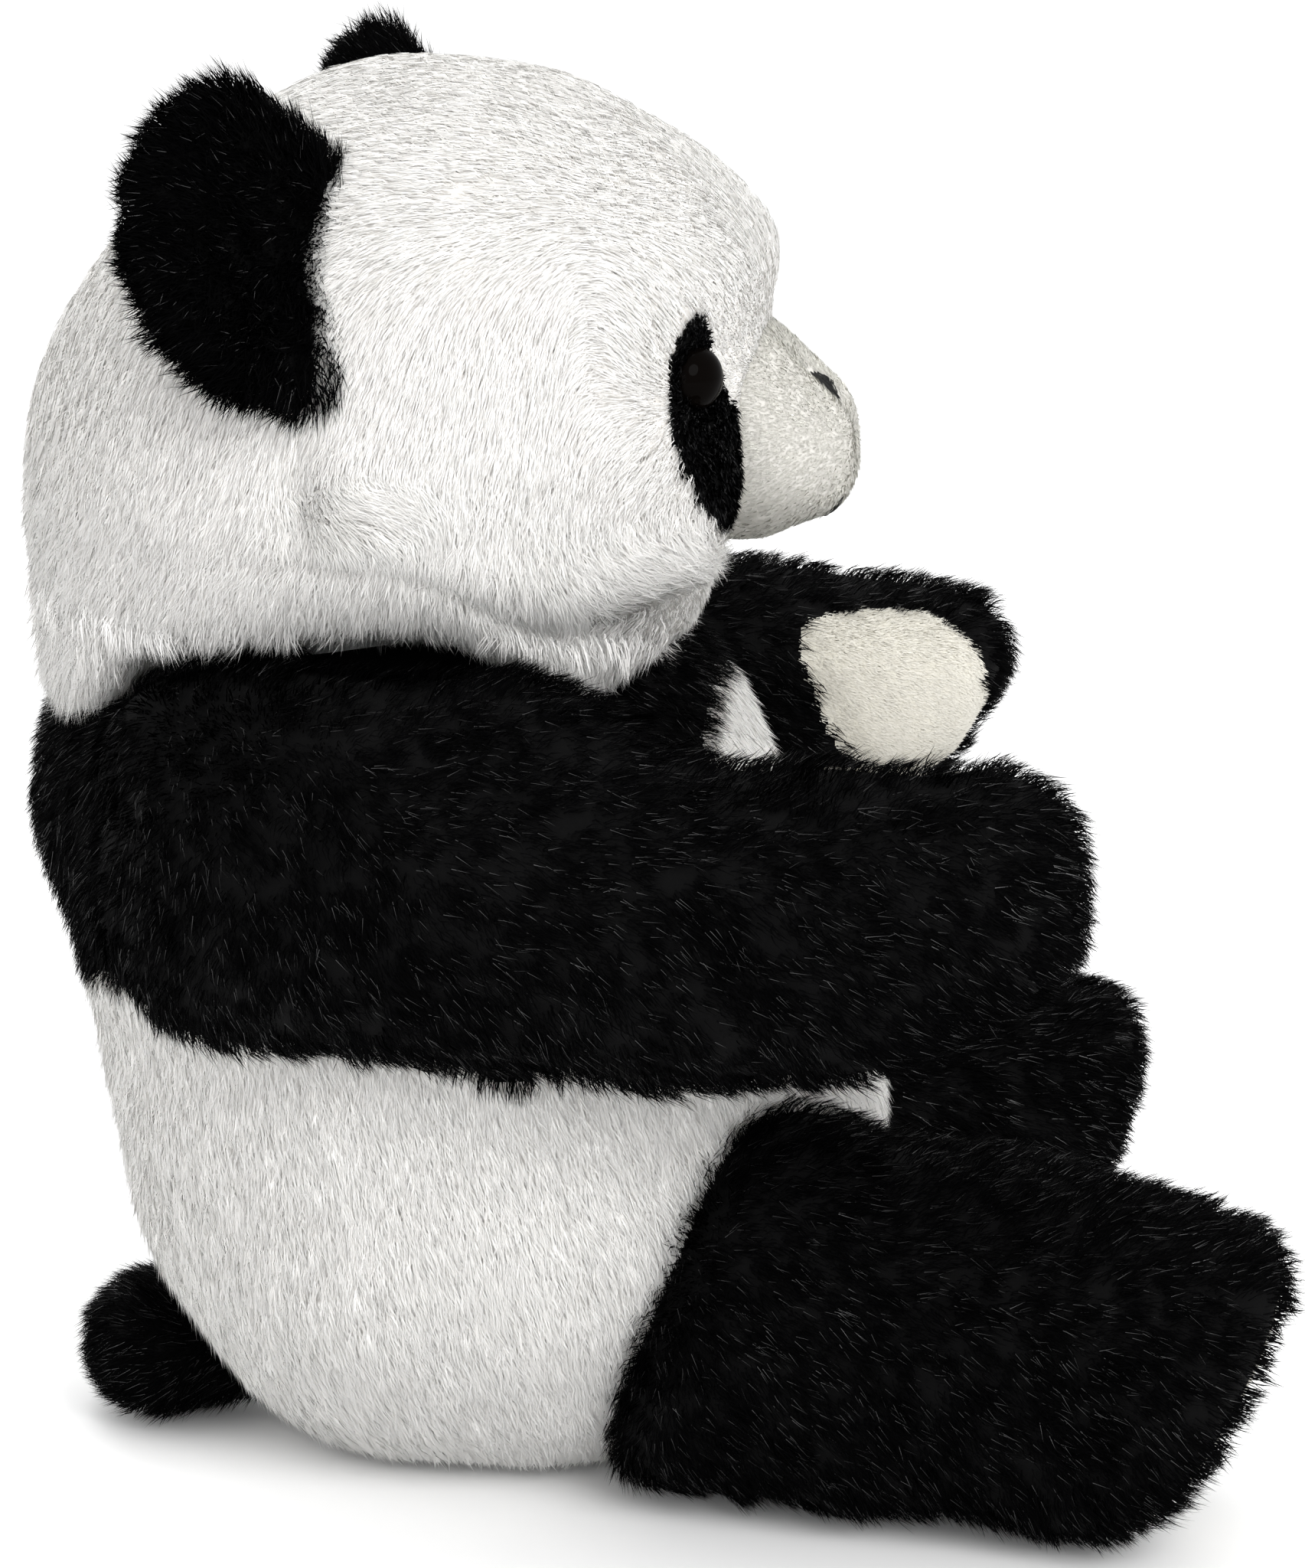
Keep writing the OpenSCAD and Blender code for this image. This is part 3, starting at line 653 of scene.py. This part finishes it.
THREAD = cloth("embroidery_thread", (0.004, 0.004, 0.004), (0.012, 0.012, 0.012), 2500,
               rough=0.5, depth=0.5)
lines = []
NOSE_HALF, NOSE_LO, NOSE_HI = 6.6, 239.0, 249.0
for xx in np.linspace(-NOSE_HALF, NOSE_HALF, 44):
    r_ = abs(xx) / NOSE_HALF
    hi = NOSE_HI - 1.5 * r_ ** 2 - 3.0 * max(0, r_ - 0.8) / 0.2
    lo = NOSE_LO + 7.0 * r_ ** 2.2
    if hi - lo < 1:
        continue
    zz = np.linspace(lo, hi, 10)
    pt, nn = on_muzzle(np.full(10, xx), zz)
    arch = np.sin(np.linspace(0, np.pi, 10)) ** 0.5
    lines.append(pt + nn * (-0.0006 + 0.0005 * arch)[:, None])
ride(threads("nose_embroidery_thread", lines, 0.00033, THREAD, POSE_HEAD), "head",
     ("nose_embroidery",))
lines = []
zz = np.linspace(235, 219, 14)
pt, nn = on_muzzle(np.zeros(14), zz)
lines.append(pt + nn * 0.0002)
for s in (-1, 1):
    a = np.linspace(0, 1, 18)
    xs = s * 11 * a
    zs = 219 + 1.0 * a - 5.5 * np.sin(a * np.pi) * 0.5 + 2.5 * a ** 2
    pt, nn = on_muzzle(xs, zs)
    lines.append(pt + nn * 0.0003)
ride(threads("mouth_stitch_thread", lines, 0.00045, THREAD, POSE_HEAD), "head",
     ("mouth_stitch",))

# -------------------------------------------------------------------- eyes
EYE_BLACK = shader("eye_dark_brown", (0.0016, 0.0011, 0.0009), 0.03, 0.014)
EYE_RIM = shader("eye_rim", (0.03, 0.018, 0.012), 0.2)


def lathe(profile, sides=64):
    pr = np.asarray(profile, float)
    a = np.linspace(0, 2 * np.pi, sides, endpoint=False)
    p = np.stack([pr[:, 0:1] * np.cos(a), pr[:, 0:1] * np.sin(a),
                  np.repeat(pr[:, 1:2], sides, 1)], -1).reshape(-1, 3)
    j, i = np.meshgrid(np.arange(len(pr) - 1), np.arange(sides), indexing="ij")
    n = (i + 1) % sides
    q = np.stack([j * sides + i, j * sides + n, (j + 1) * sides + n, (j + 1) * sides + i], -1)
    return p, q.reshape(-1, 4)


for s, name in ((-1, "right"), (1, "left")):
    prof = [[0.3, -2.0], [5.5, -2.0], [6.9, -1.2], [7.15, -0.3], [7.1, 0.5], [6.95, 0.9]]
    prof += [[7.0 * math.cos(t), 0.9 + 4.9 * math.sin(t)] for t in np.linspace(0.04, 1.53, 22)]
    prof += [[0.05, 5.8]]
    ep, eq = lathe(np.array(prof) * MM)
    place = move(np.array([44, -15, 252]) * MM) @ turn([0, 0, 1], 38) @ FORWARD
    ep = apply(move(vec(0, 0.001, 0.0015)) @ place, ep)
    if s < 0:
        ep = mirror(ep)
    eq = outward(ep, eq)
    k = np.repeat((np.arange(len(prof) - 1) < 5).astype(int), 64)
    o = build(f"eye_{name}_dome", apply(POSE_HEAD, ep), [eq], [EYE_BLACK, EYE_RIM], k)
    ride(o, "head", (f"eye_{name}",))

# -------------------------------------------------------------------- ears
ep0, eq = loft(EAR, step=1.0, sides=90, square=2.1)
up = ep0.copy()
# a shallow cup, hollow side forwards and outwards
_, ye, ze = up.T / MM
up[:, 0] += (-4.5 * (ye / 32) ** 2 * smooth(0, 30, ze) + 1.5 - 9 * smooth(2, -32, ye)) * MM
up[:, 1] = np.where(ye > 0, ye * 0.87, ye) * MM
ear_m = EAR_PLACE @ FORWARD
ew = apply(ear_m, up)
eq = outward(ew, eq)
ear_axis = ear_m[:3, 2]
ear_mid = apply(ear_m, vec(0, 0, 0.018)[None])[0]


def ear_length(p, n):
    """Longer towards the outer rim, uneven from lock to lock."""
    d = np.linalg.norm(np.stack([np.abs(p[:, 0]), p[:, 1], p[:, 2]], 1) - ear_mid[None], axis=1)
    return 5.6 + 4.2 * smooth(0.022, 0.034, d) + 1.3 * ripple(p, 0.005, 78)


def ear_flow(p, n):
    v = p - ear_mid
    return v / 0.03 + ear_axis[None] * 0.8 + vec(0, 0.2, -0.25)[None]


for s, name in ((1, "left"), (-1, "right")):
    pts = ew + vec(0, -0.006, -0.0005) if s > 0 else mirror(ew)
    qq = eq if s > 0 else eq[:, ::-1]
    fl = (lambda p, n: ear_flow(p, n)) if s > 0 else (lambda p, n: mirror(ear_flow(mirror(p), n)))
    pts = lump(pts, qq, 0.03, 0.0006, 60 + s)
    k = np.ones(len(qq), bool)
    ride(skin(f"ear_{name}_backing", pts, qq, k, BLACK_SKIN, POSE_HEAD), f"ear_{name}",
         (f"ear_cover_{name}", f"ear_wadding_{name}"))
    # The ears take 4 % lighter grey painted-glint strands.
    ride(grow(f"ear_{name}_pile", pts, qq, k, 3200, fl, ear_length,
              BLACK_TIPS, BLACK_ROOTS, POSE_HEAD, lean=50, soft=0.5, width=0.34, wild=20,
              clump=0.35, mix_tips=(0.66, 0.3, 0.04), seed=70 + s), f"ear_{name}")

# ------------------------------------------------------------------- torso
tp, tq = loft(TORSO, step=1.5, square=2.2, sides=240)
tq = outward(tp, tq)
x, y, z = tp.T / MM
tn = normals(tp, tq)
push = 1.0 * smooth(100, 112, z) + 2.5 * bump(z - 165, 14) * smooth(40, 70, np.abs(x))
push += 3.0 * bump(z - 140, 24) * smooth(60, 110, y)
tp = tp + tn * (push * MM)[:, None]
tp = lump(tp, tq, 0.06, 0.0012, 13)
tp[:, 2] = np.maximum(tp[:, 2], 0.0002)
tc = tp[tq].mean(1) / MM
edge = 104 + 13 * smooth(20, 105, tc[:, 1]) + 1.5 * ripple(tc * MM, 0.03, 3)
bib = 45 * np.sqrt(np.clip(1 - (np.maximum(tc[:, 2] - 144, 0) / 33) ** 2, 0, 1))
white = (tc[:, 2] < edge) | ((np.abs(tc[:, 0]) < bib) & (tc[:, 1] < 20))
seat = (tc[:, 2] < 1.6) & (np.hypot(tc[:, 0], tc[:, 1] - 38) < 46)


def torso_flow(p, n):
    x, y, z = p.T / MM
    v = np.tile(vec(0, -0.3, -1), (len(p), 1))
    under = smooth(14, 2, z)
    away = np.stack([x, y - 38, x * 0], 1) / 40
    return v * (1 - under)[:, None] - away * under[:, None]


def torso_length(p, n):
    return 7.4 - 4.4 * smooth(8, 1, p[:, 2] / MM)


ride(skin("lower_body_backing", tp, tq, white & ~seat, WHITE_SKIN), "torso",
     ("lower_body_cover", "torso_fill"))
ride(skin("seat_panel_cloth", tp, tq, seat, WHITE_SKIN), "torso",
     ("seat_panel",))
ride(skin("shoulder_yoke_backing", tp, tq, ~white, BLACK_SKIN), "torso",
     ("shoulder_yoke",))
grown = white & (tc[:, 2] > 1.5)
for i in range(BODY_LAYERS):
    ride(grow(f"lower_body_pile_{i + 1}", tp, tq, grown, 13000, torso_flow, torso_length,
              WHITE_TIPS, WHITE_ROOTS, lean=64, loose=0.7, width=0.28, group=5, clump=0.1,
              spread=2.2, seed=85 + i), "torso")
for s, name, sd in ((-1, "right", 81), (1, "left", 82)):
    k = ~white & (tc[:, 0] * s >= 0) & (tc[:, 2] < 187)
    ride(grow(f"shoulder_yoke_pile_{name}", tp, tq, k, 3600,
              lambda p, n: np.tile(vec(0, 0, -1), (len(p), 1)),
              lambda p, n: np.full(len(p), 7.2), BLACK_TIPS, BLACK_ROOTS, seed=sd + 4,
              **BLACK_PILE), "torso")

# -------------------------------------------------------------------- arms
def teardrop(y, z):
    """Distance outside the paw pad's outline, a taper from the wrist to the paw."""
    d = np.full(len(y), 1e3)
    for s in np.linspace(0, 1, 24):
        d = np.minimum(d, np.hypot(y + 37 + 24 * s, z - 171 + 16.5 * s) - 2.5 - 17 * s ** 0.85)
    return d


def arm_skin(rows):
    ap, aq = loft(rows, step=1.3, sides=170, forwards=True)
    aq = outward(ap, aq)
    ap = lump(ap, aq, 0.045, 0.0014, 17)
    an = normals(ap, aq)
    x, y, z = ap.T / MM
    # pad on the inner side of the paw, plumped out a little
    plump = 1.8 * smooth(0, -8, teardrop(y, z)) * (an[:, 0] < -0.1)
    ap = ap + an * (plump * MM)[:, None]
    ac = ap[aq].mean(1) / MM
    acn = normals(ap, aq)[aq].mean(1)
    return ap, aq, (teardrop(ac[:, 1], ac[:, 2]) < 0) & (acn[:, 0] < -0.1)


def arm_flow(p, n):
    x, y, z = p.T / MM
    return np.stack([x * 0, np.full_like(x, -1.0), -0.45 - 0.5 * smooth(40, 80, y)], 1)


for s, name, sd, rows in ((1, "left", 91, ARM_LEFT), (-1, "right", 92, ARM_RIGHT)):
    ap, aq, pad = arm_skin(rows)
    pts = ap if s > 0 else mirror(ap)
    qq = aq if s > 0 else aq[:, ::-1]
    body = f"arm_{name}"
    ride(skin(f"arm_{name}_backing", pts, qq, ~pad, BLACK_SKIN), body,
         (f"arm_cover_{name}", f"arm_fill_{name}"))
    ride(skin(f"paw_pad_{name}_skin", pts, qq, pad, CREAM_SKIN), body,
         (f"paw_pad_{name}",))
    ride(grow(f"arm_{name}_pile", pts, qq, ~pad, 6600, arm_flow, lambda p, n: 6.8 + ripple(p, 0.006, 79),
              BLACK_TIPS, BLACK_ROOTS, seed=sd, **BLACK_PILE), body)
    ride(grow(f"paw_pad_{name}_pile", pts, qq, pad, 6500, arm_flow, lambda p, n: np.full(len(p), 2.0),
              CREAM_TIPS, CREAM_ROOTS, seed=sd + 4, **PAD_PILE), body)
    ride(skin(f"shoulder_{name}_stuffing", *loft(
        [[-18, 0, 0, 1, 1, 0], [-13, 0, 0, 12.4, 12.4, 0], [0, 0, 0, 18, 18, 0],
         [13, 0, 0, 12.4, 12.4, 0], [18, 0, 0, 1, 1, 0]], step=2, sides=40, square=2), slice(None),
        STUFFING, move(np.array(JOINT[f"arm_{name}_raise"]["pos_m"]))), f"shoulder_{name}",
        (f"shoulder_stuffing_{name}",))

# -------------------------------------------------------------------- legs
def leg_skin(rows, sole_z):
    lp, lq = loft(rows, step=1.4, sides=170, forwards=True)
    lq = outward(lp, lq)
    lp = lump(lp, lq, 0.05, 0.0013, 19)
    lp[:, 2] = np.maximum(lp[:, 2], 0.0012)
    lc = lp[lq].mean(1) / MM
    front = normals(lp, lq)[lq].mean(1)[:, 1] < -0.55
    oval = ((lc[:, 0] - 82) / 24) ** 2 + ((lc[:, 2] - sole_z) / 24) ** 2 < 1
    tip = np.hypot(lc[:, 0] - 82, lc[:, 2] - sole_z) < 12
    return lp, lq, oval & (front | tip) & (lc[:, 1] < -98)


def leg_flow(p, n):
    return np.tile(vec(0.1, -1, -0.4), (len(p), 1))


for s, name, sd, rows, sole_z in ((1, "left", 101, LEG_LEFT, 40),
                                  (-1, "right", 102, LEG_RIGHT, 35)):
    lp, lq, sole = leg_skin(rows, sole_z)
    pts = apply(POSE_LEG, lp) if s > 0 else mirror(lp)
    qq = lq if s > 0 else lq[:, ::-1]
    body = f"leg_{name}"
    ride(skin(f"leg_{name}_backing", pts, qq, ~sole, BLACK_SKIN), body,
         (f"leg_cover_{name}", f"leg_fill_{name}"))
    ride(skin(f"sole_pad_{name}_skin", pts, qq, sole, CREAM_SKIN), body,
         (f"sole_pad_{name}",))
    ride(grow(f"leg_{name}_pile", pts, qq, ~sole, 6600, leg_flow,
              lambda p, n: 6.8 + ripple(p, 0.006, 79) - 4.0 * smooth(10, 1, p[:, 2] / MM),
              BLACK_TIPS, BLACK_ROOTS, seed=sd, **BLACK_PILE), body)
    ride(grow(f"sole_pad_{name}_pile", pts, qq, sole, 6500, leg_flow, lambda p, n: np.full(len(p), 2.0),
              CREAM_TIPS, CREAM_ROOTS, seed=sd + 4, **PAD_PILE), body)

# -------------------------------------------------------------------- tail
ta, tb = loft(TAIL, step=1.2, sides=70)
ta = apply(TAIL_PLACE, ta)
tb = outward(ta, tb)
ta = lump(ta, tb, 0.03, 0.0008, 23)
k = np.ones(len(tb), bool)
ride(skin("tail_backing", ta, tb, k, BLACK_SKIN), "tail",
     ("tail_cover", "tail_fill"))
ride(grow("tail_pile", ta, tb, k, 1700, lambda p, n: np.tile(vec(0, 1, -0.25), (len(p), 1)),
          lambda p, n: 7 - 4 * smooth(8, 1, p[:, 2] / MM), BLACK_TIPS, BLACK_ROOTS, seed=111,
          **dict(BLACK_PILE, lean=52)), "tail")

# ------------------------------------------------------- pieces kept inside
for node, mat in (("neck_stuffing", STUFFING), ("pellet_bag", BAG),
                  ("eye_washer_right", NYLON), ("eye_washer_left", NYLON)):
    o = frame["nodes"][node]
    for sl in o.material_slots:
        sl.material = mat

# ------------------------------------------------------- floor, light, camera
floor_mat = shader("studio_floor", (0.93, 0.93, 0.93), 0.9, 0.1)
fl = build("studio_floor", np.array([[-6, -6, 0], [6, -6, 0], [6, 6, 0], [-6, 6, 0]], float),
           [np.array([[0, 1, 2, 3]])], [floor_mat])
fl.location.z = -0.0008


MID = (0, 0, 0.15)


def area(name, at, size, power):
    """White disc lamp that aims at the middle of the toy."""
    d = bpy.data.lights.new(name, "AREA")
    d.shape = "DISK"
    d.size = size
    d.energy = power
    o = bpy.data.objects.new(name, d)
    v = np.array(MID, float) - np.array(at, float)
    o.location = at
    o.rotation_euler = Vector(v).to_track_quat("-Z", "Y").to_euler()
    bpy.context.scene.collection.objects.link(o)


area("key", (-1.3, -0.75, 1.0), 1.0, 12)
area("fill", (-1.5, 0.45, 0.3), 1.0, 3.0)
area("top", (0.1, 0.1, 1.7), 1.2, 4.5)
area("rim", (1.3, 0.6, 1.0), 0.9, 5)
w = bpy.data.worlds.new("studio")
w.use_nodes = True
w.node_tree.nodes["Background"].inputs[0].default_value = (1, 1, 1, 1)
w.node_tree.nodes["Background"].inputs[1].default_value = 0.9
bpy.context.scene.world = w
bpy.context.scene.view_settings.view_transform = "Standard"
bpy.context.scene.view_settings.exposure = 0.38

AIM = np.array([0, 1.35, 150.6]) * MM
DISTANCE, ELEVATION, VIEW_WIDTH = 1.1, 13.0, 0.2997
cam = bpy.data.cameras.new("camera")
cam.sensor_fit = "HORIZONTAL"
cam.sensor_width = 36
cam.lens = 36 * DISTANCE / VIEW_WIDTH
cam.clip_start = 0.01
co = bpy.data.objects.new("camera", cam)
e = math.radians(ELEVATION)
co.location = AIM + DISTANCE * np.array([-math.cos(e), 0, math.sin(e)])
co.rotation_euler = (math.radians(90 - ELEVATION), 0, math.radians(-90))
bpy.context.scene.collection.objects.link(co)
bpy.context.scene.camera = co
